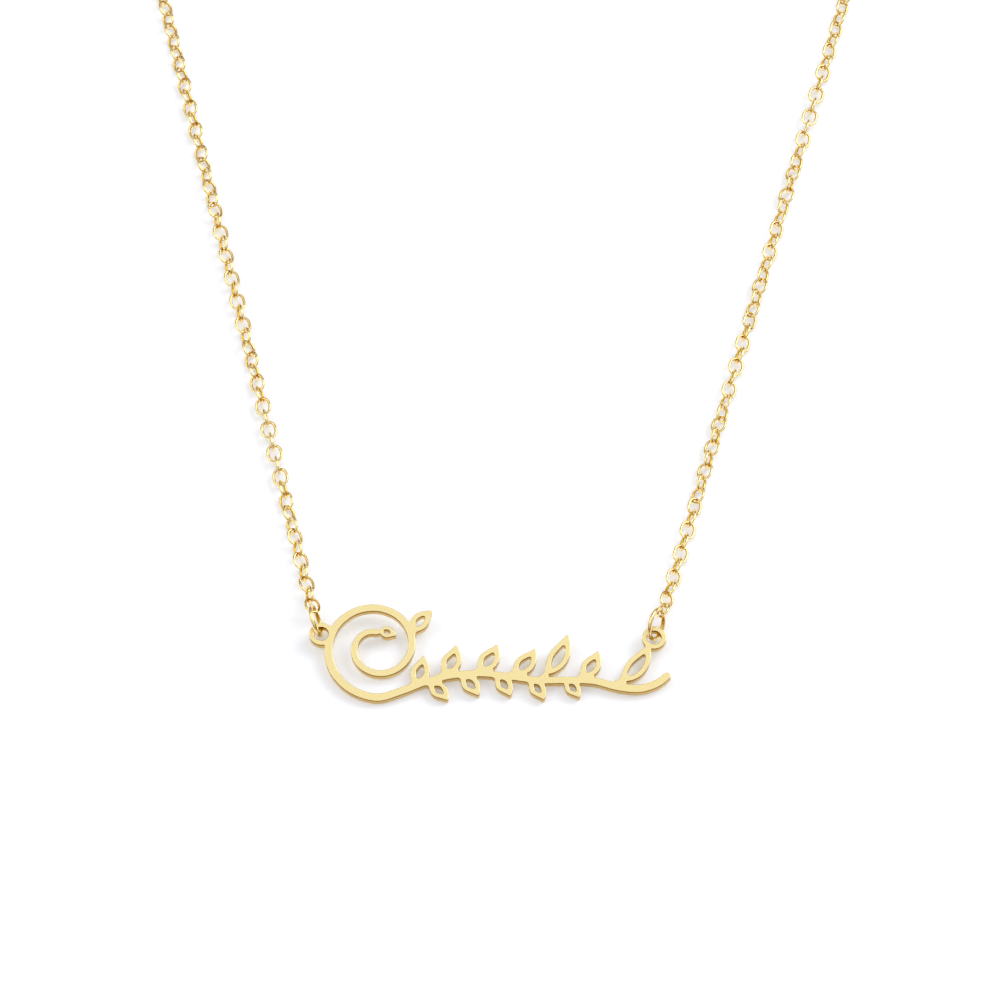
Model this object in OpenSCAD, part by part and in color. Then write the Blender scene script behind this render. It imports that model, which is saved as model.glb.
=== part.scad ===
// A nameplate necklace laid out on a flat surface. Its pierced plate is one flowing vine
// scroll between two eyelets. A jump ring at each eyelet carries one half of a cable chain,
// and the halves meet at a ring clasp behind. All lengths are in millimetres and +Z is up.

/* [Nameplate] */
// Distance between the centres of the two eyelets
eyelet_span = 36.6; // [33:0.1:42]
// How much lower than the left eyelet the right one sits
eyelet_step = 0.45; // [0:0.05:1]
// How far the scroll hangs below the left eyelet's centre
scroll_drop = 7.9; // [7:0.1:9.5]
// How far the scroll rises above the left eyelet's centre
scroll_rise = 3.5; // [3:0.1:4.5]
// Thickness of the sheet that the plate is cut from
plate_t = 1; // [0.8:0.05:1.2]
// Width of the vine's stem
stem_w = 0.84; // [0.7:0.02:1.1]
// Width of the band round the opening of each leaf
leaf_band = 0.56; // [0.5:0.02:0.7]
// Outer diameter of the eyelets
eyelet_od = 2.65; // [2.5:0.05:3]
// Diameter of the holes in the eyelets
eyelet_hole = 1.6; // [1.5:0.05:1.8]
// Height of the eyelets above the surface, where the jump rings pass under them
eyelet_lift = 0.87; // [0.8:0.01:1]
// Radius of the fillets in the crotches of the scroll
crotch_r = 0.18; // [0.1:0.02:0.3]
// Radius of the tips of the leaves
tip_r = 0.16; // [0.1:0.02:0.25]

/* [Jump rings] */
// Outer diameter of the two jump rings at the plate
ring_od = 3.9; // [3.8:0.05:4.4]
// Wire diameter of the two jump rings
ring_wire = 0.5; // [0.4:0.02:0.55]
// Turn of the left ring away from the plate's own square, to the left
left_ring_turn = 11.5; // [5:0.5:20]
// Turn of the right ring away from the plate's own square, to the right
right_ring_turn = 23; // [12:0.5:28]
// Lean of the rings to the left
ring_lean = 17; // [12:0.5:20]

/* [Chain] */
// Outer length of a link
link_l = 2.34; // [2.1:0.02:2.6]
// Outer width of a link
link_w = 1.85; // [1.6:0.05:2]
// Wire diameter of the links
link_wire = 0.33; // [0.24:0.01:0.36]
// Clearance between metal that hangs on metal
link_gap = 0.135; // [0.11:0.005:0.15]
// Links in each half of the chain
side_links = 115; // [96:1:118]
// Spread of the left half of the chain
left_spread = 12.9; // [8:0.1:20]
// Spread of the right half of the chain
right_spread = 15.25; // [8:0.1:20]

/* [Clasp] */
// Outer diameter of the ring clasp
clasp_od = 6; // [5:0.1:8]
// Diameter of the clasp's tube
clasp_tube = 1.2; // [1:0.05:1.4]
// Thickness of the clasp's tab
tab_t = 0.8; // [0.6:0.05:1]
// Diameter of the hole in the clasp's tab
tab_hole = 1.2; // [1.1:0.05:1.5]
// Width of the metal round the hole in the clasp's tab
tab_band = 0.5; // [0.4:0.05:0.7]
// Outer diameter of the ring that the clasp closes on
end_ring_od = 4.4; // [4.2:0.1:5]
// Outer diameter of the ring in the clasp's tab
tab_ring_od = 3.4; // [3.2:0.1:3.8]

/* [Hidden] */
gold = [0.96, 0.87, 0.6];
deep_gold = [0.9, 0.76, 0.42];

// Curves. A key point is [across, up, width].
function curve_at(a, b, c, d, t) =
    b + 0.5 * t * (c - a + t * (2 * a - 5 * b + 4 * c - d + t * (3 * (b - c) + d - a)));
function curve(keys, steps) =
    let (last = len(keys) - 1)
    [for (i = [0 : last - 1], j = [0 : steps - 1])
        curve_at(keys[max(i - 1, 0)], keys[i], keys[i + 1], keys[min(i + 2, last)], j / steps),
     keys[last]];
function flat(p) = [p[0], p[1]];
function left_of(v) = [-v[1], v[0]] / norm(v);
function heading_at(path, i) = flat(path[min(i + 1, len(path) - 1)] - path[max(i - 1, 0)]);
function edge(path, side) =
    [for (i = [0 : len(path) - 1]) flat(path[i]) + side / 2 * path[i][2] * left_of(heading_at(path, i))];
function reversed(list) = [for (i = [len(list) - 1 : -1 : 0]) list[i]];

module stroke(path) {
    polygon(concat(edge(path, 1), reversed(edge(path, -1))));
    for (end = [path[0], path[len(path) - 1]])
        translate(flat(end)) circle(d = end[2], $fn = 24);
}

// The plate's own frame has its origin midway between the eyelets, level with the left one,
// with the underside of the sheet at zero. Shares of its half span and of its drop or rise
// place the pieces of the scroll.
half_span = eyelet_span / 2;
function place(share) = [share[0] * half_span, share[1] * (share[1] < 0 ? scroll_drop : scroll_rise)];

// The vine starts inside a volute at the left and runs out of its foot along the plate.
volute_across = -0.667; // share of the half span
volute_turns = 1.5;
volute_thin = 0.75; // share of the stem's width at the start
volute_swell = 0.3; // and what is added by the end
volute_keys = 18;
volute_pitch = 0.125 * (scroll_rise + scroll_drop);
volute_r = (scroll_rise + scroll_drop - stem_w + volute_pitch) / 2;
volute_centre = [volute_across * half_span, volute_r + stem_w / 2 - scroll_drop];
function volute_key(share) =
    let (turns_left = volute_turns * (1 - share), turn = 270 - 360 * turns_left,
         r = volute_r - 2 * volute_pitch * turns_left)
    concat(volute_centre + r * [cos(turn), sin(turn)], [stem_w * (volute_thin + volute_swell * share)]);

// Key points of the stem, from the volute to its tail: [across, up, share of the stem's width]
STEM = [
    [-0.515, -0.850, 1.00],
    [-0.375, -0.720, 0.94],
    [-0.215, -0.620, 0.90],
    [-0.040, -0.590, 0.88],
    [0.130, -0.635, 0.88],
    [0.300, -0.690, 0.90],
    [0.470, -0.690, 0.92],
    [0.630, -0.700, 0.96],
    [0.780, -0.790, 1.04],
    [0.910, -0.815, 1.06],
    [1.010, -0.745, 1.02],
    [1.075, -0.630, 0.98]];
vine_keys = concat(
    [for (i = [0 : volute_keys]) volute_key(i / volute_keys)],
    [for (k = STEM) concat(place(k), [k[2] * stem_w])]);
vine_steps = 4;
vine = curve(vine_keys, vine_steps);

// Leaves along the vine: [root as a key point of the vine, angle to the vine, length as a share
// of the scroll's height, width over length, bow over length, share of the band's width]
LEAVES = [
    [0.25, 172, 0.21, 0.56, 0.10, 0.7],
    [9.49, -44, 0.35, 0.48, 0.10, 1],
    [19.3, 46, 0.37, 0.48, -0.10, 1],
    [20.5, 48, 0.39, 0.48, -0.10, 1],
    [21.7, 50, 0.39, 0.48, -0.10, 1],
    [22.9, 54, 0.40, 0.46, -0.10, 1],
    [24.05, 64, 0.56, 0.34, -0.08, 1],
    [25.35, 54, 0.38, 0.46, -0.10, 1],
    [19.95, -58, 0.30, 0.52, 0.10, 0.9],
    [21.15, -52, 0.31, 0.52, 0.10, 0.9],
    [22.35, -46, 0.30, 0.52, 0.10, 0.9],
    [23.55, -42, 0.29, 0.52, 0.10, 0.9],
    [24.8, -46, 0.26, 0.54, 0.10, 0.8]];
// The last leaf reaches up from this key point and carries the right eyelet on its tip
end_leaf_root = 26.75;
end_leaf_tip = [-0.35, -0.45]; // from the eyelet's centre, as shares of its radius
end_leaf_width = 0.34; // over its length
end_leaf_bow = -0.10; // over its length
stalk_share = 0.14;
leaf_steps = 11;
function vine_point(root) =
    let (i = root * vine_steps, k = floor(i)) flat(vine[k] + (i - k) * (vine[k + 1] - vine[k]));
function vine_way(root) = let (way = heading_at(vine, round(root * vine_steps))) way / norm(way);
function turned(v, angle) = [v[0] * cos(angle) - v[1] * sin(angle), v[0] * sin(angle) + v[1] * cos(angle)];
function leaf_tip(leaf) =
    vine_point(leaf[0]) + leaf[2] * (scroll_rise + scroll_drop) * turned(vine_way(leaf[0]), leaf[1]);
function leaf_key(root, tip, width, bow, t) =
    let (way = tip - root, grown = max(t - stalk_share, 0) / (1 - stalk_share))
    concat(root + t * way + 4 * t * (1 - t) * bow * [-way[1], way[0]],
           [width * norm(way) * sin(180 * pow(grown, 0.85))]);
module blade(root, tip, width, bow) {
    path = [for (i = [0 : leaf_steps])
        leaf_key(root, tip, width, bow, stalk_share + (1 - stalk_share) * i / leaf_steps)];
    right = edge(path, -1);
    polygon(concat(edge(path, 1), [for (i = [leaf_steps - 1 : -1 : 1]) right[i]]));
}
module leaf(root, tip, width, bow, band) {
    difference() {
        blade(root, tip, width, bow);
        offset(r = -band, $fn = 24) blade(root, tip, width, bow);
    }
    stroke([for (i = [0 : 4]) concat(flat(leaf_key(root, tip, width, bow, i / 2 * stalk_share)), [band])]);
}

eyelets = [[-half_span, 0], [half_span, -eyelet_step]];
module scroll_outline() {
    offset(r = tip_r, $fn = 16) offset(r = -tip_r - crotch_r, $fn = 16) offset(delta = crotch_r) {
        stroke(vine);
        for (l = LEAVES)
            leaf(vine_point(l[0]), leaf_tip(l), l[3], l[4], l[5] * leaf_band);
        leaf(vine_point(end_leaf_root), eyelets[1] + eyelet_od / 2 * end_leaf_tip,
             end_leaf_width, end_leaf_bow, leaf_band);
        for (centre = eyelets)
            translate(centre) circle(d = eyelet_od, $fn = 40);
    }
}

// The necklace is laid out with the plate's lowest edge along the X axis. Headings are turns
// to the right of +Y, which points away from the wearer's side of the plate.
plate_tilt = asin(eyelet_lift / (scroll_drop + eyelet_hole / 2));
function on_plate(p, height) =
    [p[0], (p[1] + scroll_drop) * cos(plate_tilt) - height * sin(plate_tilt),
     (p[1] + scroll_drop) * sin(plate_tilt) + height * cos(plate_tilt)];
function ahead(heading) = [sin(heading), cos(heading), 0];
function beside(heading) = [cos(heading), -sin(heading), 0];

// Rings that stand on the surface. A ring is [outer diameter, heading, lean].
lean_gap = 1.25 * link_gap; // what leans through a ring or a hole comes nearer to it
function ring_r(ring) = (ring[0] - ring_wire) / 2;
function ring_height(ring) = ring_r(ring) * cos(ring[2]) + ring_wire / 2;
// How far past the far rim of a hole the ring's centre lies, when the metal round the hole
// stands this high above the surface and hangs on the inside of the ring's wire
function rim_reach(ring, lift) =
    sqrt(pow(ring_r(ring) - ring_wire / 2 - lean_gap, 2) - pow((ring_height(ring) - lift) / cos(ring[2]), 2));
function ring_through(ring, hole, hole_d, lift) =
    [hole[0], hole[1], ring_height(ring)] + (rim_reach(ring, lift) + hole_d / 2) * ahead(ring[1])
    + (lift - ring_height(ring)) * tan(ring[2]) * beside(ring[1]);
// The end bar of a chain lies on the inside of the ring's wire, level with the ring's middle
bar_to_ring = ring_wire / 2 + lean_gap + link_wire / 2;
function hook_reach(ring) = ring_r(ring) - bar_to_ring;
function hook(ring, centre, heading) =
    centre + ring_r(ring) * ahead(ring[1]) - bar_to_ring * ahead(heading);

left_ring = [ring_od, -left_ring_turn, ring_lean];
right_ring = [ring_od, right_ring_turn, ring_lean];
function rim_lift(eyelet) = (eyelet[1] + eyelet_hole / 2 + scroll_drop) * sin(plate_tilt);
function ring_centre(ring, eyelet) =
    ring_through(ring, on_plate(eyelet, 0), eyelet_hole, rim_lift(eyelet));
left_ring_centre = ring_centre(left_ring, eyelets[0]);
right_ring_centre = ring_centre(right_ring, eyelets[1]);

// Clasp, along its own line from the left half of the chain to the right half
end_ring = [end_ring_od, 0, 0];
tab_ring = [tab_ring_od, 0, 0];
tube_r = clasp_tube / 2;
tube_reach = ring_r(end_ring) - ring_wire / 2 - tube_r - link_gap;
tube_drop = 50; // slant from the end ring's middle down to the tube that hangs in it
clasp_height = ring_height(end_ring) - tube_reach * sin(tube_drop);
clasp_from_end_ring = tube_reach * cos(tube_drop) + (clasp_od - clasp_tube) / 2;
tab_from_clasp = (clasp_od + tab_hole) / 2;
tab_ring_from_tab = rim_reach(tab_ring, clasp_height - tab_t / 2) + tab_hole / 2;
clasp_span = hook_reach(end_ring) + clasp_from_end_ring + tab_from_clasp + tab_ring_from_tab
    + hook_reach(tab_ring);
end_ring_at = hook_reach(end_ring) - clasp_span / 2;
clasp_at = end_ring_at + clasp_from_end_ring;
tab_at = clasp_at + tab_from_clasp;
tab_ring_at = tab_at + tab_ring_from_tab;

// Turn of the links about the chain, beyond a quarter turn for each: [link, turn]. The last
// link lies flat on the ring that it hangs on.
LEFT_TURNS = [
    [0, 18], [6, 24], [8, 46], [10, 66], [12, 86], [15, 88], [18, 66], [20, 58], [22, 42],
    [24, 14], [27, 12], [30, 26], [33, 14], [35, 40], [37, 32], [40, 60], [44, 62], [46, 50],
    [54, 30], [62, 76], [74, 20], [86, 58]];
RIGHT_TURNS = [
    [0, -44], [3, -62], [7, -68], [9, -55], [11, -22], [13, -18], [16, -22], [18, -52],
    [20, -76], [22, -64], [24, -68], [26, -34], [28, -20], [30, -50], [31, -60], [34, -50],
    [36, -16], [37, -14], [39, -42], [42, -82], [46, -76], [48, -54], [52, -44], [60, -20],
    [70, -72], [84, -30]];
LAST_TURN = side_links % 2 == 0 ? 90 : 0;
function drift(side, k) =
    lookup(k, concat(side < 0 ? LEFT_TURNS : RIGHT_TURNS, [[side_links - 1, -side * LAST_TURN]]));

// The chain lies on the surface and climbs along a curve this long to each ring that it hangs
// on. A side is -1 on the left and 1 on the right, and s is the length along the chain.
pitch = link_l - 2 * link_wire - link_gap;
bar_to_bar = link_l - link_wire;
half_length = (side_links - 1) * pitch + bar_to_bar;
bend_r = (link_w - link_wire) / 2;
climb = 7;
function climb_at(s) = max(1 - s / climb, 0);
function lying_height(side, k) =
    link_wire / 2 + bend_r * max(abs(sin(drift(side, k))), abs(cos(drift(side, k))));
function climb_to(ring, side, k) = ring_height(ring) - lying_height(side, k);
function start_lift(side) = climb_to(side < 0 ? left_ring : right_ring, side, 0);
function end_lift(side) = climb_to(side < 0 ? end_ring : tab_ring, side, side_links - 1);
function lift(side, s) =
    start_lift(side) * pow(climb_at(s), 2) + end_lift(side) * pow(climb_at(half_length - s), 2);
// What a climb takes off the length that the chain covers, up to this far from the climb's top
function taken(lift, s) = 2 / 3 * lift * lift / climb * (1 - pow(climb_at(s), 3));
function covered(side, s) =
    s - taken(start_lift(side), s) - taken(end_lift(side), climb) + taken(end_lift(side), half_length - s);

// In plan each half runs straight from its jump ring and then round one arc, which touches
// both straight runs
left_start = hook(left_ring, left_ring_centre, -left_spread);
right_start = hook(right_ring, right_ring_centre, right_spread);
start_gap = right_start - left_start;
both_spreads = left_spread + right_spread;
// Distance back from each start to the point where the two straight lines cross
left_back = (start_gap[0] * cos(right_spread) - start_gap[1] * sin(right_spread)) / sin(both_spreads);
right_back = (start_gap[0] * cos(left_spread) + start_gap[1] * sin(left_spread)) / sin(both_spreads);
loop_length = covered(-1, half_length) + covered(1, half_length) + clasp_span;
crossing_to_arc = (loop_length + left_back + right_back)
    / (2 + tan(both_spreads / 2) * PI * (1 + both_spreads / 180));
loop_r = crossing_to_arc * tan(both_spreads / 2);
function start(side) = side < 0 ? left_start : right_start;
function spread(side) = side < 0 ? left_spread : right_spread;
function straight(side) = crossing_to_arc - (side < 0 ? left_back : right_back);
function heading(side, way) =
    side * (spread(side) - max(way - straight(side), 0) / loop_r * 180 / PI);
function route(side, way) =
    let (h0 = side * spread(side), h = heading(side, way))
    [start(side)[0], start(side)[1]] + min(way, straight(side)) * flat(ahead(h0))
    + side * loop_r * [cos(h) - cos(h0), sin(h0) - sin(h)];
function chain_point(side, s) = concat(route(side, covered(side, s)), [lift(side, s)]);

module half_turn() {
    rotate_extrude(angle = 180, $fn = 48) translate([bend_r, 0]) circle(d = link_wire, $fn = 24);
}
module link() {
    leg = link_l - link_w;
    for (end = [0, 1])
        rotate([0, 0, 180 * end]) translate([0, leg / 2, 0]) half_turn();
    for (side = [-1, 1])
        translate([side * bend_r, 0, 0]) rotate([90, 0, 0])
            cylinder(d = link_wire, h = leg, center = true, $fn = 24);
}
// Each link spans the route between the middles of its two end bars
module chain(side) {
    for (k = [0 : side_links - 1]) {
        near = chain_point(side, k * pitch);
        far = chain_point(side, k * pitch + bar_to_bar);
        way = far - near;
        translate((near + far) / 2 + [0, 0, lying_height(side, k)])
            rotate([asin(way[2] / norm(way)), 0, -atan2(way[0], way[1])])
            rotate([0, 90 * k + drift(side, k), 0]) link();
    }
}
module ring(ring) {
    rotate([0, 90, 0])
        rotate_extrude($fn = 64) translate([ring_r(ring), 0]) circle(d = ring_wire, $fn = 24);
}
module standing(ring, centre) {
    translate(centre) rotate([0, 0, -ring[1]]) rotate([0, -ring[2], 0]) ring(ring);
}

// The whole is moved so that the middle of its outline is at the origin
clasp_ends = [for (side = [-1, 1]) route(side, covered(side, half_length))];
clasp_middle = (clasp_ends[0] + clasp_ends[1]) / 2;
clasp_way = clasp_ends[1] - clasp_ends[0];
clasp_heading = atan2(clasp_way[0], clasp_way[1]);
loop_middle = route(-1, straight(-1))[0] + loop_r * cos(left_spread);
front = -plate_t * sin(plate_tilt);
back = clasp_middle[1] + clasp_od / 2;
module laid() {
    translate([-loop_middle, -(front + back) / 2, 0]) children();
}
module at_clasp(along, height) {
    laid() translate(concat(clasp_middle, [height])) rotate([0, 0, -clasp_heading])
        translate([0, along, 0]) children();
}

module nameplate() {
    color(gold) laid() rotate([plate_tilt, 0, 0]) translate([0, scroll_drop, 0])
        difference() {
            linear_extrude(plate_t) scroll_outline();
            for (centre = eyelets)
                translate(concat(centre, [-plate_t])) cylinder(d = eyelet_hole, h = 3 * plate_t, $fn = 64);
        }
}
module jump_ring_left() {
    color(gold) laid() standing(left_ring, left_ring_centre);
}
module jump_ring_right() {
    color(gold) laid() standing(right_ring, right_ring_centre);
}
module chain_left() {
    color(deep_gold) laid() chain(-1);
}
module chain_right() {
    color(deep_gold) laid() chain(1);
}
module clasp() {
    color(gold) at_clasp(clasp_at, clasp_height) difference() {
        union() {
            rotate_extrude($fn = 64)
                translate([(clasp_od - clasp_tube) / 2, 0]) circle(d = clasp_tube, $fn = 32);
            translate([0, tab_from_clasp, 0])
                cylinder(d = tab_hole + 2 * tab_band, h = tab_t, center = true, $fn = 64);
        }
        translate([0, tab_from_clasp, 0]) cylinder(d = tab_hole, h = 2 * clasp_tube, center = true, $fn = 64);
    }
}
module clasp_ring() {
    color(gold) at_clasp(tab_ring_at, ring_height(tab_ring)) ring(tab_ring);
}
module end_ring() {
    color(gold) at_clasp(end_ring_at, ring_height(end_ring)) ring(end_ring);
}
nameplate();
jump_ring_left();
jump_ring_right();
chain_left();
chain_right();
clasp();
clasp_ring();
end_ring();
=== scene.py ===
"""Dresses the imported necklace: gold finishes, plate, links, rings, clasp, studio and camera.

Lengths are in metres and angles in degrees, unless a name says otherwise. The plate, the chain,
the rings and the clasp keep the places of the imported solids.
"""
import logging
import math
from dataclasses import dataclass
from enum import Enum
from typing import TypeAlias

import bmesh
import bpy
import numpy as np
from mathutils import Matrix, Vector

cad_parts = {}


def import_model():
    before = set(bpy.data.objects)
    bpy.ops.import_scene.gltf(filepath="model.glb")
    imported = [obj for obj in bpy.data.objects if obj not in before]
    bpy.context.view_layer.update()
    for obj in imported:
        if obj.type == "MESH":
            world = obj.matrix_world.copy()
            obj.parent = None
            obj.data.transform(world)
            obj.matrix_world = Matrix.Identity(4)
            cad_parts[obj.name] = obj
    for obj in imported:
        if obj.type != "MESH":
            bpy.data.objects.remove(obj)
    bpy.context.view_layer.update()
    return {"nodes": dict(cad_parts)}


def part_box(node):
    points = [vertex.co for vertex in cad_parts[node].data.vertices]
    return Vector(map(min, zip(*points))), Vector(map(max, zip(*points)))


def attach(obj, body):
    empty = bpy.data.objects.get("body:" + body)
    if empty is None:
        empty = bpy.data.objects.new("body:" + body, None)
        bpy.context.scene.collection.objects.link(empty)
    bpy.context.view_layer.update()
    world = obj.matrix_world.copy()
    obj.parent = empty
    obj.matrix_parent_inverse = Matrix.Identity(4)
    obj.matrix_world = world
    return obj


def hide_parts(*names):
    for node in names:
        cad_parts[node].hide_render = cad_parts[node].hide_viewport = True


MM = 0.001
MICRON = 1e-6
DOUBLED = 1e-7
BODY = "root"
# The attribute that says where shade is painted into a gold finish.
PAINTED_SHADE = "painted_shade"
LOG = logging.getLogger("necklace")

Color: TypeAlias = tuple[float, float, float]
Place: TypeAlias = tuple[float, float, float]
Inputs: TypeAlias = dict[str | int, object]


class Tree:
    """A node tree with short calls for its nodes, links and named inputs."""

    def __init__(self, tree: bpy.types.NodeTree) -> None:
        """Wraps the node tree that is to be filled."""
        self.tree = tree

    def node(self, kind: str, inputs: Inputs | None = None, **settings: object) -> bpy.types.Node:
        """Adds a node.

        Args:
            kind: Blender's name of the node's type.
            inputs: Values or sockets for its inputs, by name or place.
            settings: Values for the node's own properties.

        Returns:
            The new node.
        """
        made = self.tree.nodes.new(kind)
        for name, value in settings.items():
            setattr(made, name, value)
        for key, value in (inputs or {}).items():
            if isinstance(value, bpy.types.NodeSocket):
                self.tree.links.new(value, made.inputs[key])
            else:
                made.inputs[key].default_value = value
        return made

    def mix(self, factor: bpy.types.NodeSocket, first: Color | bpy.types.NodeSocket,
            second: Color | bpy.types.NodeSocket) -> bpy.types.NodeSocket:
        """Blends two colours.

        Args:
            factor: How far the blend goes towards the second colour.
            first: A colour or its socket.
            second: A colour or its socket.

        Returns:
            The socket that carries the blend.
        """
        made = self.node("ShaderNodeMix", {"Factor": factor}, data_type="RGBA")
        sides = [socket for socket in made.inputs if socket.type == "RGBA"]
        for socket, value in zip(sides, (first, second)):
            if isinstance(value, bpy.types.NodeSocket):
                self.tree.links.new(value, socket)
            else:
                socket.default_value = (*value, 1.0)
        return next(socket for socket in made.outputs if socket.type == "RGBA")

    def mark_inner_shade(self, ring: bpy.types.NodeSocket) -> bpy.types.NodeSocket:
        """Marks the inner side of a wire that is bent round the origin, where shade is painted.

        Args:
            ring: The bent wire's geometry.

        Returns:
            The same geometry. Its painted-shade attribute is 1 where the wire faces the origin and
            0 outside.
        """
        place = self.node("GeometryNodeInputPosition").outputs[0]
        outward = self.node("ShaderNodeVectorMath", {0: place}, operation="NORMALIZE")
        normal = self.node("GeometryNodeInputNormal").outputs[0]
        facing = self.node("ShaderNodeVectorMath", {0: normal, 1: outward.outputs["Vector"]},
                           operation="DOT_PRODUCT")
        inward = self.node("ShaderNodeMath", {0: facing.outputs["Value"], 1: -1.0},
                           operation="MULTIPLY", use_clamp=True)
        marked = self.node("GeometryNodeStoreNamedAttribute", {
            "Geometry": ring, "Name": PAINTED_SHADE, "Value": inward.outputs[0]},
            data_type="FLOAT", domain="POINT")
        return marked.outputs[0]

    def half(self, value: bpy.types.NodeSocket) -> bpy.types.NodeSocket:
        """Halves a number."""
        return self.node("ShaderNodeMath", {0: value, 1: 2.0}, operation="DIVIDE").outputs[0]

    def difference(self, whole: bpy.types.NodeSocket,
                   part: bpy.types.NodeSocket) -> bpy.types.NodeSocket:
        """Takes one number from another."""
        return self.node("ShaderNodeMath", {0: whole, 1: part}, operation="SUBTRACT").outputs[0]

    def geometry_socket(self, name: str, way: str) -> None:
        """Adds a named geometry socket, with INPUT or OUTPUT as its way."""
        self.tree.interface.new_socket(name, in_out=way, socket_type="NodeSocketGeometry")

    def value_input(self, name: str, default: float) -> None:
        """Adds a named number to a geometry tree's inputs, with its value until it is set."""
        made = self.tree.interface.new_socket(name, in_out="INPUT", socket_type="NodeSocketFloat")
        made.default_value = default


def run_tree(source: bpy.types.Object, tree: bpy.types.NodeTree, sizes: dict[str, float],
             name: str) -> bpy.types.Object:
    """Runs a geometry tree on an object and returns its result as a plain mesh object.

    Args:
        source: The object that carries the points or curve. It is removed.
        tree: The geometry tree.
        sizes: The tree's named inputs.
        name: The name of the new piece.

    Returns:
        The new piece, with no modifier.
    """
    modifier = source.modifiers.new("build", "NODES")
    modifier.node_group = tree
    sockets = {item.name: item.identifier for item in tree.interface.items_tree
               if item.in_out == "INPUT"}
    for label, value in sizes.items():
        modifier[sockets[label]] = value
    graph = bpy.context.evaluated_depsgraph_get()
    mesh = bpy.data.meshes.new_from_object(source.evaluated_get(graph))
    mesh.name = name
    source.modifiers.remove(modifier)
    bpy.data.objects.remove(source)
    return add_object(name, mesh)


def add_object(name: str, data: bpy.types.ID) -> bpy.types.Object:
    """Puts a mesh, a curve, a light or a camera in the scene as an object at the origin.

    Args:
        name: The object's name.
        data: What the object shows.

    Returns:
        The new object.
    """
    made = bpy.data.objects.new(name, data)
    bpy.context.scene.collection.objects.link(made)
    return made


def close_and_turn_out(mesh: bpy.types.Mesh) -> None:
    """Merges doubled vertices and points every face outwards.

    Args:
        mesh: The mesh to clean.
    """
    work = bmesh.new()
    work.from_mesh(mesh)
    bmesh.ops.remove_doubles(work, verts=work.verts, dist=DOUBLED)
    bmesh.ops.recalc_face_normals(work, faces=work.faces)
    work.to_mesh(mesh)
    work.free()


def lying_place(points: np.ndarray) -> tuple[Vector, Matrix]:
    """Works out how a link or a ring lies from its vertices.

    Args:
        points: The vertices of one closed link or ring.

    Returns:
        The centre, and a matrix whose columns run across, along and through its opening.
    """
    guess = points.mean(0)
    spread = np.linalg.eigh(np.cov((points - guess).T))[1]
    through, across, along = spread.T
    inside = (points - guess) @ spread
    centre = guess + spread @ ((inside.max(0) + inside.min(0)) / 2)
    if np.dot(np.cross(across, along), through) < 0:
        through = -through
    return Vector(centre), Matrix((across, along, through)).transposed()


def bridge(work: bmesh.types.BMesh, rings: list[list[bmesh.types.BMVert]]) -> None:
    """Closes a tube's skin: four-sided faces between each ring of vertices and the next.

    Args:
        work: The mesh that holds the vertices.
        rings: Rings of equally many vertices. The last one meets the first.
    """
    for this, following in zip(rings, rings[1:] + rings[:1]):
        for k in range(len(this)):
            after = (k + 1) % len(this)
            work.faces.new((this[k], this[after], following[after], following[k]))


def stand_in(piece: bpy.types.Object, node: str) -> None:
    """Rides a piece on the body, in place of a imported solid, and reports it.

    Args:
        piece: The finished piece.
        node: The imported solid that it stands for.
    """
    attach(piece, BODY)
    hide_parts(node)
    LOG.info("%s stands for %s: %d faces", piece.name, node, len(piece.data.polygons))


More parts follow.
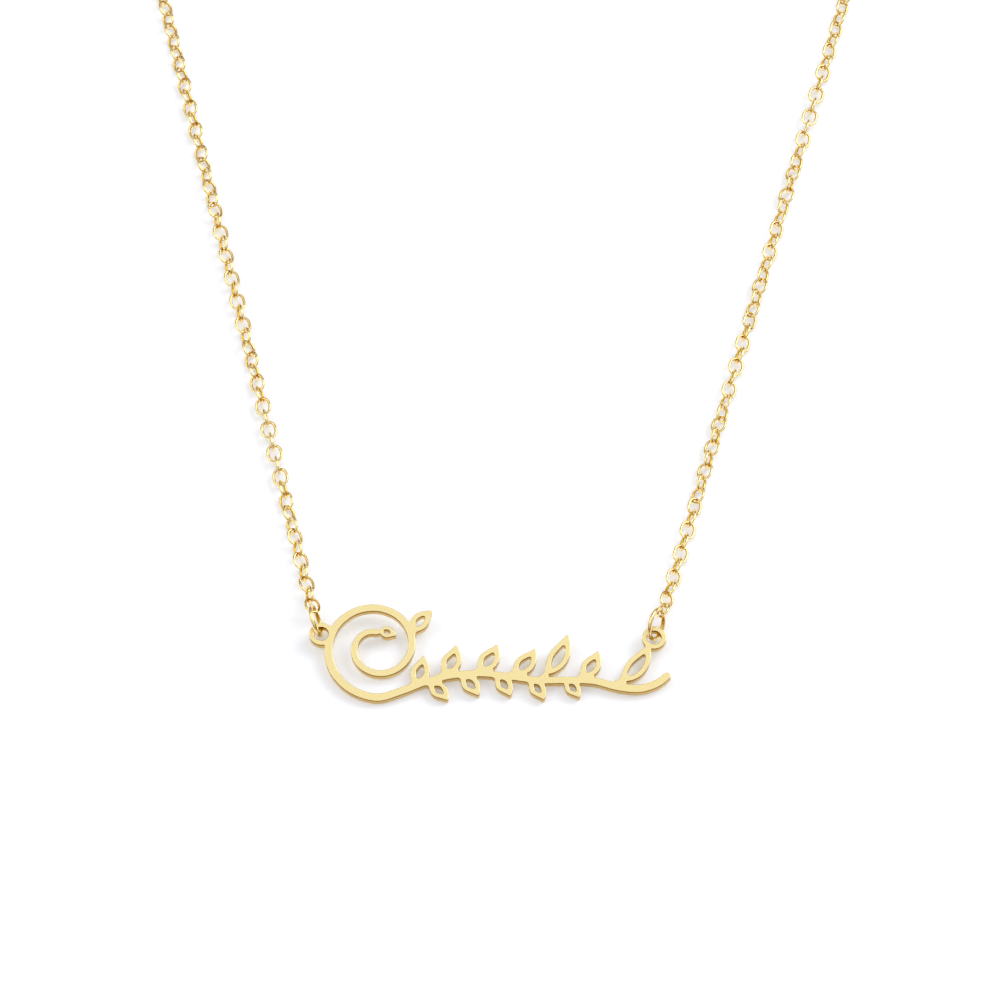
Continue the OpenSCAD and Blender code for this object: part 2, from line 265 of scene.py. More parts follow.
@dataclass(frozen=True)
class GoldFinish:
    """One surface of gold plate.

    Wave and grain are bumps that bend its reflections: wave is the soft unevenness left by the
    polishing wheel, and grain is the fine texture that makes a face satin. The plating's two
    colours drift into each other over some waves.
    """

    name: str
    color: Color
    deep_color: Color
    smooth: float
    rough: float
    wave_size: float
    wave_depth: float
    grain_size: float
    grain_depth: float
    grain_stretch: float = 1.0
    grain_turn: float = 24.0
    drifts_in_wave: float = 0.35

    def tone(self, tree: Tree, place: bpy.types.NodeSocket) -> bpy.types.NodeSocket:
        """Makes the soft drift between the two colours of the plating.

        Args:
            tree: The material's tree.
            place: The coordinates that the pattern follows.

        Returns:
            The socket that carries the colour.
        """
        drift = tree.node("ShaderNodeTexNoise", {
            "Vector": place, "Scale": self.drifts_in_wave / self.wave_size, "Detail": 3.0,
            "Roughness": 0.6})
        spread = tree.node("ShaderNodeMapRange", {"Value": drift.outputs["Fac"], "From Min": 0.3,
                                                  "From Max": 0.6})
        return tree.mix(spread.outputs["Result"], self.deep_color, self.color)

    def grain(self, tree: Tree, place: bpy.types.NodeSocket) -> bpy.types.NodeSocket:
        """Makes the fine texture, stretched along one direction.

        Args:
            tree: The material's tree.
            place: The coordinates that the pattern follows.

        Returns:
            The socket that carries the texture.
        """
        long_place = tree.node("ShaderNodeMapping", {
            "Vector": place, "Scale": (1.0 / self.grain_stretch, 1.0, 1.0),
            "Rotation": (0.0, 0.0, math.radians(self.grain_turn))})
        return tree.node("ShaderNodeTexNoise", {
            "Vector": long_place.outputs["Vector"], "Scale": 1.0 / self.grain_size,
            "Detail": 4.0, "Roughness": 0.65}).outputs["Fac"]

    def bumps(self, tree: Tree, place: bpy.types.NodeSocket,
              grain: bpy.types.NodeSocket) -> bpy.types.NodeSocket:
        """Bends the surface by its wave and its grain.

        Args:
            tree: The material's tree.
            place: The coordinates that the wave follows.
            grain: The fine texture.

        Returns:
            The socket that carries the normal.
        """
        wave = tree.node("ShaderNodeTexNoise", {"Vector": place, "Scale": 1.0 / self.wave_size,
                                                "Detail": 1.0, "Roughness": 0.4})
        bent = tree.node("ShaderNodeBump", {"Strength": 1.0, "Distance": self.wave_depth,
                                            "Height": wave.outputs["Fac"]})
        return tree.node("ShaderNodeBump", {
            "Strength": 1.0, "Distance": self.grain_depth, "Height": grain,
            "Normal": bent.outputs["Normal"]}).outputs["Normal"]

    def build(self) -> bpy.types.Material:
        """Makes the material.

        Returns:
            The material, with its pattern on Object coordinates.
        """
        material = bpy.data.materials.new(self.name)
        material.use_nodes = True
        tree = Tree(material.node_tree)
        links = material.node_tree.links
        shader = material.node_tree.nodes["Principled BSDF"]
        shader.inputs["Metallic"].default_value = 1.0
        place = tree.node("ShaderNodeTexCoord").outputs["Object"]
        links.new(self.tone(tree, place), shader.inputs["Base Color"])
        grain = self.grain(tree, place)
        rough = tree.node("ShaderNodeMapRange", {"Value": grain, "From Min": 0.3,
                                                 "From Max": 0.7, "To Min": self.smooth,
                                                 "To Max": self.rough})
        links.new(rough.outputs["Result"], shader.inputs["Roughness"])
        links.new(self.bumps(tree, place, grain), shader.inputs["Normal"])
        return material


@dataclass(frozen=True)
class PaintedShadeFinish(GoldFinish):
    """Gold plate with painted shade: its colour turns dark where the piece's own attribute says
    so.
    """

    painted_shade_color: Color = (0.5, 0.3, 0.1)
    painted_shade_from: float = 0.2
    painted_shade_to: float = 0.8

    def tone(self, tree: Tree, place: bpy.types.NodeSocket) -> bpy.types.NodeSocket:
        """Paints shade into the plating's colours where the piece's own attribute says so.

        Args:
            tree: The material's tree.
            place: The coordinates that the pattern follows.

        Returns:
            The socket that carries the colour.
        """
        plated = super().tone(tree, place)
        # Painted shade: the colour turns towards the dark shade colour where the attribute is
        # high.
        shade_mark = tree.node("ShaderNodeAttribute", attribute_name=PAINTED_SHADE).outputs["Fac"]
        amount = tree.node("ShaderNodeMapRange", {"Value": shade_mark, "From Min": self.painted_shade_from,
                                                  "From Max": self.painted_shade_to},
                           interpolation_type="SMOOTHSTEP")
        return tree.mix(amount.outputs["Result"], plated, self.painted_shade_color)


class Finish(Enum):
    """The gold finishes of the necklace."""

    FACE = GoldFinish(
        "plate_face_satin", color=(0.94, 0.793, 0.396), deep_color=(0.93, 0.777, 0.38),
        smooth=0.22, rough=0.30, wave_size=2.4 * MM, wave_depth=1.0 * MICRON,
        grain_size=0.05 * MM, grain_depth=0.1 * MICRON, grain_stretch=5.0)
    RIM = GoldFinish(
        "plate_rim_polished", color=(0.93, 0.76, 0.38), deep_color=(0.88, 0.68, 0.28),
        smooth=0.10, rough=0.18, wave_size=0.8 * MM, wave_depth=1.0 * MICRON,
        grain_size=0.04 * MM, grain_depth=0.1 * MICRON)
    # Painted shade: the walls' deeper gold and the dark line just under the upper rim stand for
    # the darker reflections there.
    WALL = PaintedShadeFinish(
        "plate_wall_cut_painted_shade", color=(0.78, 0.53, 0.16), deep_color=(0.70, 0.45, 0.10),
        smooth=0.20, rough=0.34, wave_size=0.8 * MM, wave_depth=2.0 * MICRON,
        grain_size=0.04 * MM, grain_depth=0.3 * MICRON,
        painted_shade_color=(0.28, 0.13, 0.012), painted_shade_from=0.60, painted_shade_to=0.85)
    # Painted shade: dark amber on the wires' inner sides, where the links cross.
    LINK = PaintedShadeFinish(
        "chain_polished", color=(0.98, 0.82, 0.42), deep_color=(0.95, 0.74, 0.28),
        smooth=0.05, rough=0.12, wave_size=0.5 * MM, wave_depth=1.5 * MICRON,
        grain_size=0.05 * MM, grain_depth=0.1 * MICRON,
        painted_shade_color=(0.76, 0.44, 0.025), painted_shade_from=0.10, painted_shade_to=0.70)
    # Painted shade: dark amber on the wire's inner side, where the ring meets the eyelet and
    # links.
    RING = PaintedShadeFinish(
        "ring_satin", color=(0.96, 0.80, 0.42), deep_color=(0.93, 0.75, 0.36),
        smooth=0.22, rough=0.30, wave_size=1.5 * MM, wave_depth=1.0 * MICRON,
        grain_size=0.05 * MM, grain_depth=0.1 * MICRON,
        painted_shade_color=(0.74, 0.43, 0.045), painted_shade_from=0.20, painted_shade_to=0.85)
    CLASP = GoldFinish(
        "clasp_polished", color=(0.96, 0.79, 0.42), deep_color=(0.92, 0.72, 0.32),
        smooth=0.06, rough=0.14, wave_size=1.6 * MM, wave_depth=2.0 * MICRON,
        grain_size=0.06 * MM, grain_depth=0.1 * MICRON)

    def material(self) -> bpy.types.Material:
        """Returns this finish's material, made on its first use."""
        return bpy.data.materials.get(self.value.name) or self.value.build()


@dataclass
class Nameplate:
    """The cut plate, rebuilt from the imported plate's outline with rounded edges.

    Its curve is made in millimetres, which keeps the fine points apart when Blender fills it, and
    the mesh is then scaled to metres.
    """

    node: str = "nameplate"
    edge_round_mm: float = 0.05
    round_steps: int = 2
    curve_steps: int = 3
    crowded: float = 0.05 * MM
    crease: float = 50.0
    face_facing: float = 0.97
    wall_facing: float = 0.3

    def loops(self, mesh: bpy.types.Mesh) -> tuple[list[list[Vector]], Vector, Vector]:
        """Finds the outline of the plate's upper face, from the same start in each run.

        Args:
            mesh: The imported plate's mesh.

        Returns:
            The closed loops of the outline, the face's normal and a point of the lower face.
        """
        work = bmesh.new()
        work.from_mesh(mesh)
        bmesh.ops.remove_doubles(work, verts=work.verts, dist=DOUBLED)
        work.normal_update()
        work.verts.index_update()
        work.verts.ensure_lookup_table()
        upper = [face for face in work.faces if face.normal.z > self.face_facing]
        normal = sum((face.normal * face.calc_area() for face in upper), Vector()).normalized()
        members = set(upper)
        border: dict[int, int] = {}
        for face in upper:
            for loop in face.loops:
                if not all(other in members for other in loop.edge.link_faces):
                    border[loop.vert.index] = loop.link_loop_next.vert.index
        found = []
        while border:
            start, after = border.popitem()
            ring = [start]
            while after != start:
                ring.append(after)
                after = border.pop(after)
            found.append([work.verts[index].co.copy() for index in ring])
        lowest = min((vert.co for vert in work.verts), key=lambda point: point.dot(normal)).copy()
        work.free()
        return found, normal, lowest

    def thinned(self, loop: list[Vector]) -> list[Vector]:
        """Drops the crowded points of an outline, so that a smooth curve runs through the rest.

        Args:
            loop: The points of a closed outline.

        Returns:
            The points that are left.
        """
        shade_mark = [loop[0]]
        for place in loop[1:]:
            if (place - shade_mark[-1]).length > self.crowded:
                shade_mark.append(place)
        if (shade_mark[-1] - shade_mark[0]).length < self.crowded:
            shade_mark.pop()
        return shade_mark

    def outline(self, loops: list[list[Vector]], across: Vector, up: Vector,
                thickness: float) -> bpy.types.Curve:
        """Draws the plate as a filled flat curve with thickness and rounded edges.

        Args:
            loops: The closed loops of the outline.
            across: The curve's first direction.
            up: The curve's second direction.
            thickness: The plate's thickness.

        Returns:
            The curve, in millimetres from the outline's first point.
        """
        curve = bpy.data.curves.new("plate_outline", "CURVE")
        curve.dimensions = "2D"
        curve.fill_mode = "BOTH"
        curve.resolution_u = self.curve_steps
        curve.extrude = thickness / MM / 2 - self.edge_round_mm
        curve.bevel_depth = self.edge_round_mm
        curve.bevel_resolution = self.round_steps
        curve.offset = -self.edge_round_mm
        for points in map(self.thinned, loops):
            spline = curve.splines.new("BEZIER")
            spline.bezier_points.add(len(points) - 1)
            spline.use_cyclic_u = True
            for point, place in zip(spline.bezier_points, points):
                away = (place - loops[0][0]) / MM
                point.co = (away.dot(across), away.dot(up), 0.0)
                point.handle_left_type = point.handle_right_type = "AUTO"
        return curve

    def build(self, packed: bpy.types.Object, name: str) -> bpy.types.Object:
        """Makes the plate.

        Args:
            packed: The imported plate.
            name: The new piece's name.

        Returns:
            The plate with rounded edges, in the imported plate's place.
        """
        loops, normal, lowest = self.loops(packed.data)
        origin = loops[0][0]
        across = Vector((1.0, 0.0, 0.0))
        up = normal.cross(across)
        thickness = (origin - lowest).dot(normal)
        holder = add_object("plate_outline", self.outline(loops, across, up, thickness))
        graph = bpy.context.evaluated_depsgraph_get()
        mesh = bpy.data.meshes.new_from_object(holder.evaluated_get(graph))
        bpy.data.objects.remove(holder)
        turn = Matrix((across, up, normal)).transposed().to_4x4()
        middle = Matrix.Translation(origin - normal * thickness / 2)
        mesh.transform(middle @ turn @ Matrix.Scale(MM, 4))
        close_and_turn_out(mesh)
        self.dress(mesh, normal)
        return add_object(name, mesh)

    def dress(self, mesh: bpy.types.Mesh, normal: Vector) -> None:
        """Gives the faces a satin finish, the rounded rims a polished one and the walls a cut one,
        darkened by painted shade.

        Args:
            mesh: The plate's mesh.
            normal: The normal of its upper face.
        """
        mesh.materials.clear()
        for finish in (Finish.FACE, Finish.RIM, Finish.WALL):
            mesh.materials.append(finish.material())
        mesh.set_sharp_from_angle(angle=math.radians(self.crease))
        for face in mesh.polygons:
            facing = abs(face.normal.dot(normal))
            bent = facing < self.face_facing
            face.material_index = int(bent) + int(facing < self.wall_facing)
            face.use_smooth = bent
        # Painted shade: 1 at the upper face down to 0 at the lower one; the wall finish darkens
        # the walls just under the upper rim with it.
        heights = np.array([vert.co.dot(normal) for vert in mesh.vertices])
        painted_shade = (heights - heights.min()) / (heights.max() - heights.min())
        mesh.attributes.new(PAINTED_SHADE, "FLOAT", "POINT").data.foreach_set("value", painted_shade)


@dataclass
class ChainHalf:
    """Half of the cable chain: one link on every packed link's place."""

    node: str
    length: float = 2.34 * MM
    width: float = 1.85 * MM
    wire: float = 0.33 * MM
    corner_steps: int = 12
    path_points: int = 16
    wire_sides: int = 6
    doubled: float = 1e-8

    def places(self, mesh: bpy.types.Mesh) -> list[tuple[Vector, Matrix]]:
        """Finds where each packed link lies, in the order of the mesh.

        Args:
            mesh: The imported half's mesh.

        Returns:
            The centre and the turn of each link.
        """
        work = bmesh.new()
        work.from_mesh(mesh)
        bmesh.ops.remove_doubles(work, verts=work.verts, dist=self.doubled)
        left = set(work.verts)
        found = []
        for start in work.verts:
            if start not in left:
                continue
            left.remove(start)
            reached = [start]
            points = []
            while reached:
                vert = reached.pop()
                points.append(vert.co[:])
                for edge in vert.link_edges:
                    other = edge.other_vert(vert)
                    if other in left:
                        left.remove(other)
                        reached.append(other)
            found.append(lying_place(np.array(points)))
        work.free()
        return found

    def tree(self) -> bpy.types.NodeTree:
        """Makes the geometry tree that puts a bent-wire link on each point.

        Returns:
            The tree, with the link's sizes as named inputs.
        """
        group = bpy.data.node_groups.new(f"{self.node}_links", "GeometryNodeTree")
        made = Tree(group)
        made.geometry_socket("Points", "INPUT")
        made.value_input("Link length", self.length)
        made.value_input("Link width", self.width)
        made.value_input("Wire", self.wire)
        made.geometry_socket("Links", "OUTPUT")
        given = made.node("NodeGroupInput").outputs
        long_side = made.difference(given["Link length"], given["Wire"])
        wide_side = made.difference(given["Link width"], given["Wire"])
        box = made.node("GeometryNodeCurvePrimitiveQuadrilateral",
                        {"Width": wide_side, "Height": long_side})
        bent = made.node("GeometryNodeFilletCurve", {"Curve": box.outputs[0],
                                                     "Count": self.corner_steps,
                                                     "Radius": made.half(wide_side),
                                                     "Limit Radius": True}, mode="POLY")
        path = made.node("GeometryNodeResampleCurve", {"Curve": bent.outputs[0],
                                                       "Count": self.path_points})
        section = made.node("GeometryNodeCurvePrimitiveCircle",
                            {"Resolution": self.wire_sides, "Radius": made.half(given["Wire"])})
        link = made.node("GeometryNodeCurveToMesh", {"Curve": path.outputs[0],
                                                     "Profile Curve": section.outputs[0]})
        turn = made.node("GeometryNodeInputNamedAttribute", {"Name": "turn"},
                         data_type="FLOAT_VECTOR")
        rotation = made.node("FunctionNodeEulerToRotation", {0: turn.outputs[0]})
        placed = made.node("GeometryNodeInstanceOnPoints",
                           {"Points": given["Points"],
                            "Instance": made.mark_inner_shade(link.outputs[0]),
                            "Rotation": rotation.outputs[0]})
        real = made.node("GeometryNodeRealizeInstances", {"Geometry": placed.outputs[0]})
        smooth = made.node("GeometryNodeSetShadeSmooth", {"Geometry": real.outputs[0]})
        dressed = made.node("GeometryNodeSetMaterial", {"Geometry": smooth.outputs[0],
                                                        "Material": Finish.LINK.material()})
        made.node("NodeGroupOutput", {0: dressed.outputs[0]})
        return group

    def build(self, packed: bpy.types.Object, name: str) -> bpy.types.Object:
        """Makes the half.

        Args:
            packed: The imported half.
            name: The new piece's name.

        Returns:
            All its links as one mesh.
        """
        places = self.places(packed.data)
        mesh = bpy.data.meshes.new(name)
        mesh.from_pydata([centre for centre, _ in places], [], [])
        turns = mesh.attributes.new("turn", "FLOAT_VECTOR", "POINT")
        for item, (_, turn) in zip(turns.data, places):
            item.vector = turn.to_euler()
        sizes = {"Link length": self.length, "Link width": self.width, "Wire": self.wire}
        return run_tree(add_object(f"{name}_points", mesh), self.tree(), sizes, name)


@dataclass
class WireRing:
    """A ring of round wire, cut once so that it can be opened, with its ends almost closed."""

    node: str
    outer: float
    wire: float = 0.5 * MM
    seam: float = 0.035 * MM
    seam_turn: float = 20.0
    crease: float = 50.0
    path_steps: int = 72
    wire_sides: int = 16

    def tree(self) -> bpy.types.NodeTree:
        """Makes the geometry tree that bends a wire round the ring.

        Returns:
            The tree, with the ring's sizes as named inputs.
        """
        group = bpy.data.node_groups.new(f"{self.node}_wire", "GeometryNodeTree")
        made = Tree(group)
        made.geometry_socket("Start", "INPUT")
        made.value_input("Bend radius", 0.0)
        made.value_input("Wire", self.wire)
        made.value_input("Sweep", math.tau)
        made.geometry_socket("Ring", "OUTPUT")
        given = made.node("NodeGroupInput").outputs
        path = made.node("GeometryNodeCurveArc", {"Resolution": self.path_steps,
                                                  "Radius": given["Bend radius"],
                                                  "Sweep Angle": given["Sweep"]})
        section = made.node("GeometryNodeCurvePrimitiveCircle",
                            {"Resolution": self.wire_sides, "Radius": made.half(given["Wire"])})
        tube = made.node("GeometryNodeCurveToMesh", {"Curve": path.outputs[0],
                                                     "Profile Curve": section.outputs[0],
                                                     "Fill Caps": True})
        real = made.node("GeometryNodeRealizeInstances",
                         {"Geometry": made.mark_inner_shade(tube.outputs[0])})
        dressed = made.node("GeometryNodeSetMaterial", {"Geometry": real.outputs[0],
                                                        "Material": Finish.RING.material()})
        made.node("NodeGroupOutput", {0: dressed.outputs[0]})
        return group

    def build(self, packed: bpy.types.Object, name: str) -> bpy.types.Object:
        """Makes the ring.

        Args:
            packed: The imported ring.
            name: The new piece's name.

        Returns:
            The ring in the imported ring's place.
        """
        points = np.array([vert.co[:] for vert in packed.data.vertices])
        centre, turn = lying_place(points)
        bend = (self.outer - self.wire) / 2
        sweep = math.tau - self.seam / bend
        start = add_object(f"{name}_start", bpy.data.meshes.new(f"{name}_start"))
        sizes = {"Bend radius": bend, "Wire": self.wire, "Sweep": sweep}
        made = run_tree(start, self.tree(), sizes, name)
        down = turn.transposed() @ Vector((0.0, 0.0, -1.0))
        seam_at = math.atan2(down.y, down.x) + math.radians(self.seam_turn)
        spin = Matrix.Rotation(seam_at, 4, "Z")
        made.data.transform(Matrix.Translation(centre) @ turn.to_4x4() @ spin)
        close_and_turn_out(made.data)
        made.data.shade_smooth()
        made.data.set_sharp_from_angle(angle=math.radians(self.crease))
        return made


@dataclass
class Clasp:
    """The ring clasp: a round tube with a tab, and a fine groove where each collar beside it ends.

    Tube and tab are joined in millimetres, and the mesh is then scaled to metres.
    """

    node: str = "clasp"
    outer: float = 6.0 * MM
    tube: float = 1.2 * MM
    tab_hole: float = 1.2 * MM
    tab_outer: float = 2.2 * MM
    tab_thick: float = 0.8 * MM
    tab_round: float = 0.12 * MM
    groove_depth: float = 0.05 * MM
    groove_wide: float = 1.5
    groove_at: float = 24.0
    tube_steps: int = 144
    tube_sides: int = 24
    tab_steps: int = 48
    tab_turns: tuple[int, ...] = (0, 30, 60, 90)
    crease: float = 40.0

    def groove(self, angle: float) -> float:
        """Returns how much thinner the tube is at an angle, in degrees from its tab."""
        away = abs(abs((angle + 180.0) % 360.0 - 180.0) - self.groove_at)
        return self.groove_depth * math.exp(-((away / self.groove_wide) ** 2))

    def tube_mesh(self) -> bmesh.types.BMesh:
        """Makes the closed round tube about the origin.

        Returns:
            The tube, in metres, with the side of its tab towards +Y.
        """
        work = bmesh.new()
        bend = (self.outer - self.tube) / 2
        rings = []
        rounds = [math.tau * k / self.tube_sides for k in range(self.tube_sides)]
        for step in range(self.tube_steps):
            angle = 360.0 * step / self.tube_steps
            radius = self.tube / 2 - self.groove(angle)
            way = Vector((math.sin(math.radians(angle)), math.cos(math.radians(angle)), 0.0))
            rings.append([work.verts.new(way * (bend + radius * math.cos(turn))
                                         + Vector((0.0, 0.0, radius * math.sin(turn))))
                          for turn in rounds])
        bridge(work, rings)
        return work

    def tab_mesh(self) -> bmesh.types.BMesh:
        """Makes the tab, a washer with rounded rims, in its place beside the tube.

        Returns:
            The tab, in metres.
        """
        work = bmesh.new()
        low, high = self.tab_hole / 2, self.tab_outer / 2
        half, soft = self.tab_thick / 2, self.tab_round
        section = []
        for r, z, first in ((high - soft, half - soft, 0), (low + soft, half - soft, 90),
                            (low + soft, soft - half, 180), (high - soft, soft - half, 270)):
            turns = [math.radians(first + turn) for turn in self.tab_turns]
            section += [(r + soft * math.cos(turn), z + soft * math.sin(turn)) for turn in turns]
        offset = Vector((0.0, (self.outer + self.tab_hole) / 2, 0.0))
        rounds = [math.tau * step / self.tab_steps for step in range(self.tab_steps)]
        bridge(work, [[work.verts.new(offset + Vector((r * math.cos(turn), r * math.sin(turn), z)))
                       for r, z in section] for turn in rounds])
        return work

    def build(self, packed: bpy.types.Object, name: str) -> bpy.types.Object:
        """Makes the clasp.

        Args:
            packed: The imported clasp.
            name: The new piece's name.

        Returns:
            Tube and tab joined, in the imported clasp's place.
        """
        shells = []
        for label, work in (("tube", self.tube_mesh()), ("tab", self.tab_mesh())):
            bmesh.ops.recalc_face_normals(work, faces=work.faces)
            mesh = bpy.data.meshes.new(f"{name}_{label}")
            work.to_mesh(mesh)
            work.free()
            mesh.transform(Matrix.Scale(1 / MM, 4))
            shells.append(add_object(mesh.name, mesh))
        join = shells[0].modifiers.new("join", "BOOLEAN")
        join.operation = "UNION"
        join.solver = "EXACT"
        join.object = shells[1]
        graph = bpy.context.evaluated_depsgraph_get()
        mesh = bpy.data.meshes.new_from_object(shells[0].evaluated_get(graph))
        for shell in shells:
            bpy.data.objects.remove(shell)
        centre, turn = self.packed_place(packed)
        mesh.transform(Matrix.Translation(centre) @ turn.to_4x4() @ Matrix.Scale(MM, 4))
        mesh.name = name
        close_and_turn_out(mesh)
        mesh.materials.clear()
        mesh.materials.append(Finish.CLASP.material())
        mesh.shade_smooth()
        mesh.set_sharp_from_angle(angle=math.radians(self.crease))
        return add_object(name, mesh)

    def packed_place(self, packed: bpy.types.Object) -> tuple[Vector, Matrix]:
        """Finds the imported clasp's tube centre and the direction of its tab.

        Args:
            packed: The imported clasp.

        Returns:
            The centre of the tube's ring and a turn whose second column points to the tab.
        """
        points = np.array([vert.co[:] for vert in packed.data.vertices])
        flat = points[:, :2] - points[:, :2].mean(0)
        spread = np.linalg.eigh(np.cov(flat.T))[1][:, 1]
        way = Vector((*spread, 0.0)).normalized()
        if (flat @ spread).max() < -(flat @ spread).min():
            way = -way
        reach = points @ np.array(way)
        side = way.cross(Vector((0.0, 0.0, 1.0)))
        across = points @ np.array(side)
        height = points[:, 2]
        middle = (way * (reach.min() + self.outer / 2) + side * (across.max() + across.min()) / 2
                  + Vector((0.0, 0.0, (height.max() + height.min()) / 2)))
        return middle, Matrix((side, way, Vector((0.0, 0.0, 1.0)))).transposed()


@dataclass
class Studio:
    """A light table under two soft lights, in a room with a bright top and a dark band.

    The room's brightness goes by height: the warm band low down, the lamps and the gaps between
    them around, and the even ceiling above.
    """

    floor_size: float = 30.0
    floor_gap: float = 0.02 * MM
    floor_color: Color = (0.88, 0.905, 0.95)
    floor_rough: float = 0.85
    floor_gloss: float = 0.2
    floor_grains: float = 2500.0
    floor_grain_depth: float = 4 * MICRON
    glow_color: Color = (0.82, 0.88, 1.0)
    glow: float = 0.24
    room: float = 1.0
    above: float = 0.98
    around: float = 1.05
    band: Color = (0.33, 0.18, 0.03)
    band_to: float = 0.45
    around_from: float = 0.54
    around_to: float = 0.78
    above_from: float = 0.90
    patch_scale: float = 2.6
    patch_from: float = 0.42
    patch_to: float = 0.52
    patch_low: float = 0.20
    key_power: float = 6.5
    key_size: float = 0.85
    key_at: Place = (0.80, 0.45, 0.85)
    fill_power: float = 1.8
    fill_size: float = 0.7
    fill_at: Place = (-0.75, 0.10, 0.75)

    def floor(self) -> bpy.types.Object:
        """Makes the floor, a wide sheet of matt white acrylic that is lit a little from below.

        Returns:
            The floor, just under the necklace.
        """
        work = bmesh.new()
        bmesh.ops.create_grid(work, x_segments=1, y_segments=1, size=self.floor_size / 2)
        mesh = bpy.data.meshes.new("floor")
        work.to_mesh(mesh)
        work.free()
        mesh.transform(Matrix.Translation((0.0, 0.0, -self.floor_gap)))
        material = bpy.data.materials.new("white_acrylic")
        material.use_nodes = True
        tree = Tree(material.node_tree)
        shader = material.node_tree.nodes["Principled BSDF"]
        shader.inputs["Base Color"].default_value = (*self.floor_color, 1.0)
        shader.inputs["Roughness"].default_value = self.floor_rough
        shader.inputs["Specular IOR Level"].default_value = self.floor_gloss
        shader.inputs["Emission Color"].default_value = (*self.glow_color, 1.0)
        shader.inputs["Emission Strength"].default_value = self.glow
        place = tree.node("ShaderNodeTexCoord").outputs["Object"]
        grain = tree.node("ShaderNodeTexNoise", {"Vector": place, "Scale": self.floor_grains,
                                                 "Detail": 3.0})
        bump = tree.node("ShaderNodeBump", {"Distance": self.floor_grain_depth,
                                            "Height": grain.outputs["Fac"]})
        material.node_tree.links.new(bump.outputs["Normal"], shader.inputs["Normal"])
        mesh.materials.append(material)
        return add_object("floor", mesh)

    def tones(self, tree: Tree, height: bpy.types.NodeSocket) -> bpy.types.NodeSocket:
        """Colours the room by height: the warm band, the lamps and the ceiling.

        Args:
            tree: The room's tree.
            height: The height that a ray points to, from 0 to 1.

        Returns:
            The socket that carries the colour.
        """
        ramp = tree.node("ShaderNodeValToRGB", {"Fac": height})
        stops = ramp.color_ramp.elements
        stops[0].position, stops[0].color = 0.0, (*self.band, 1.0)
        stops[1].position, stops[1].color = 1.0, (*[self.above] * 3, 1.0)
        for position, color in ((self.band_to, self.band),
                                (self.around_from, [self.around] * 3),
                                (self.around_to, [self.around] * 3),
                                (self.above_from, [self.above] * 3)):
            stop = stops.new(position)
            stop.color = (*color, 1.0)
        return ramp.outputs["Color"]

    def lamps(self, tree: Tree, way: bpy.types.NodeSocket,
              height: bpy.types.NodeSocket) -> bpy.types.NodeSocket:
        """Dims the gaps between the lamps, up to the even ceiling.

        Args:
            tree: The room's tree.
            way: The direction of a ray.
            height: The height that the ray points to, from 0 to 1.

        Returns:
            The socket that carries how much of the room's colour is left.
        """
        patches = tree.node("ShaderNodeTexNoise", {"Vector": way, "Scale": self.patch_scale,
                                                   "Detail": 1.0})
        gaps = tree.node("ShaderNodeMapRange", {
            "Value": patches.outputs["Fac"], "From Min": self.patch_from,
            "From Max": self.patch_to, "To Min": self.patch_low, "To Max": 1.0})
        top = tree.node("ShaderNodeMapRange", {"Value": height, "From Min": self.around_to,
                                               "From Max": self.above_from})
        return tree.node("ShaderNodeMath", {
            0: gaps.outputs["Result"], 1: top.outputs["Result"]}, operation="MAXIMUM").outputs[0]

    def world(self) -> None:
        """Makes the room: a warm dark band, lamps and gaps over it, and an even ceiling."""
        world = bpy.data.worlds.new("room")
        bpy.context.scene.world = world
        world.use_nodes = True
        tree = Tree(world.node_tree)
        back = world.node_tree.nodes["Background"]
        way = tree.node("ShaderNodeTexCoord").outputs["Generated"]
        height = tree.node("ShaderNodeSeparateXYZ", {0: way}).outputs["Z"]
        room = tree.node("ShaderNodeVectorMath", {0: self.tones(tree, height),
                                                  "Scale": self.lamps(tree, way, height)},
                         operation="SCALE")
        world.node_tree.links.new(room.outputs["Vector"], back.inputs["Color"])
        back.inputs["Strength"].default_value = self.room

    @staticmethod
    def light(name: str, power: float, size: float, place: Place, target: Vector) -> None:
        """Adds a square soft light.

        Args:
            name: The light's name.
            power: Its power in watts.
            size: The length of its side.
            place: Where it stands, from the target.
            target: What it is turned to.
        """
        data = bpy.data.lights.new(name, "AREA")
        data.energy = power
        data.size = size
        lamp = add_object(name, data)
        lamp.location = target + Vector(place)
        lamp.rotation_euler = (-Vector(place)).to_track_quat("-Z", "Y").to_euler()

    def build(self, target: Vector) -> None:
        """Makes the floor, the room and the lights.

        Args:
            target: The middle of the plate, which the lights are turned to.
        """
        self.floor()
        self.world()
        self.light("key", self.key_power, self.key_size, self.key_at, target)
        self.light("fill", self.fill_power, self.fill_size, self.fill_at, target)
        bpy.context.scene.view_settings.view_transform = "Standard"


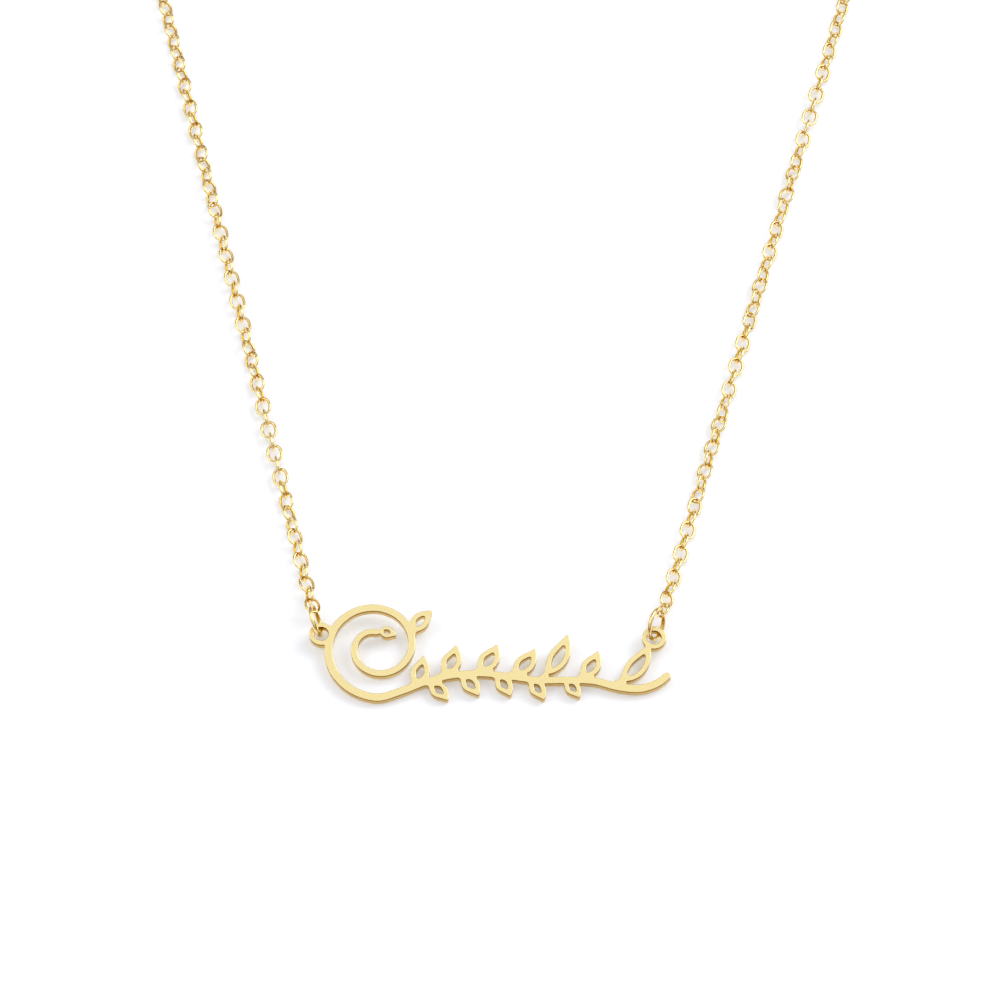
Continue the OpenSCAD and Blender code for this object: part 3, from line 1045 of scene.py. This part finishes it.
@dataclass
class Shot:
    """The camera at the photograph's angle, with the plate in its place in the frame.

    The pixel is one picture pixel's length at the plate. The frame has frame_pixels of them on
    each side.
    """

    distance: float = 0.8
    elevation: float = 61.5
    pixel: float = 0.11007 * MM
    frame_pixels: float = 1000.0
    subject_pixel: tuple[float, float] = (487.75, 638.5)
    near: float = 0.01
    far: float = 20.0

    def build(self, subject: Vector) -> None:
        """Makes the camera and puts the subject on its pixel of the frame.

        Args:
            subject: The point midway between the plate's eyelets.
        """
        slant = math.radians(self.elevation)
        ahead = Vector((0.0, math.cos(slant), -math.sin(slant)))
        right = Vector((1.0, 0.0, 0.0))
        up = right.cross(ahead)
        half = self.frame_pixels / 2
        shift = right * (self.subject_pixel[0] - half) + up * (half - self.subject_pixel[1])
        data = bpy.data.cameras.new("camera")
        camera = add_object("camera", data)
        camera.location = subject - ahead * self.distance - shift * self.pixel
        camera.rotation_euler = ahead.to_track_quat("-Z", "Y").to_euler()
        data.lens = data.sensor_width * self.distance / (self.frame_pixels * self.pixel)
        data.clip_start, data.clip_end = self.near, self.far
        bpy.context.scene.camera = camera


@dataclass
class Necklace:
    """The whole necklace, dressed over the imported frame."""

    jump_ring: float = 3.9 * MM
    clasp_ring: float = 3.4 * MM
    end_ring: float = 4.4 * MM
    eyelets_above_edge: float = 7.74 * MM
    eyelets_left_of_middle: float = 0.23 * MM
    eyelet_height: float = 0.9 * MM

    def subject(self) -> Vector:
        """Returns the point midway between the two eyelets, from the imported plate's box."""
        low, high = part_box("nameplate")
        return Vector(((low.x + high.x) / 2 - self.eyelets_left_of_middle,
                       low.y + self.eyelets_above_edge, self.eyelet_height))

    def build(self, nodes: dict[str, bpy.types.Object]) -> None:
        """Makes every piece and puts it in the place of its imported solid.

        Args:
            nodes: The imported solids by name.
        """
        plate = Nameplate()
        stand_in(plate.build(nodes[plate.node], "plate"), plate.node)
        for side in ("left", "right"):
            half = ChainHalf(f"chain_{side}")
            stand_in(half.build(nodes[half.node], f"links_{side}"), half.node)
            ring = WireRing(f"jump_ring_{side}", self.jump_ring)
            stand_in(ring.build(nodes[ring.node], f"ring_{side}"), ring.node)
        for ring, name in ((WireRing("clasp_ring", self.clasp_ring), "ring_clasp"),
                           (WireRing("end_ring", self.end_ring), "ring_end")):
            stand_in(ring.build(nodes[ring.node], name), ring.node)
        clasp = Clasp()
        stand_in(clasp.build(nodes[clasp.node], "clasp_body"), clasp.node)


def main() -> None:
    """Builds the scene."""
    logging.basicConfig(level=logging.INFO, format="%(message)s")
    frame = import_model()
    necklace = Necklace()
    subject = necklace.subject()
    Shot().build(subject)
    necklace.build(frame["nodes"])
    Studio().build(subject)


if __name__ == "__main__":
    main()
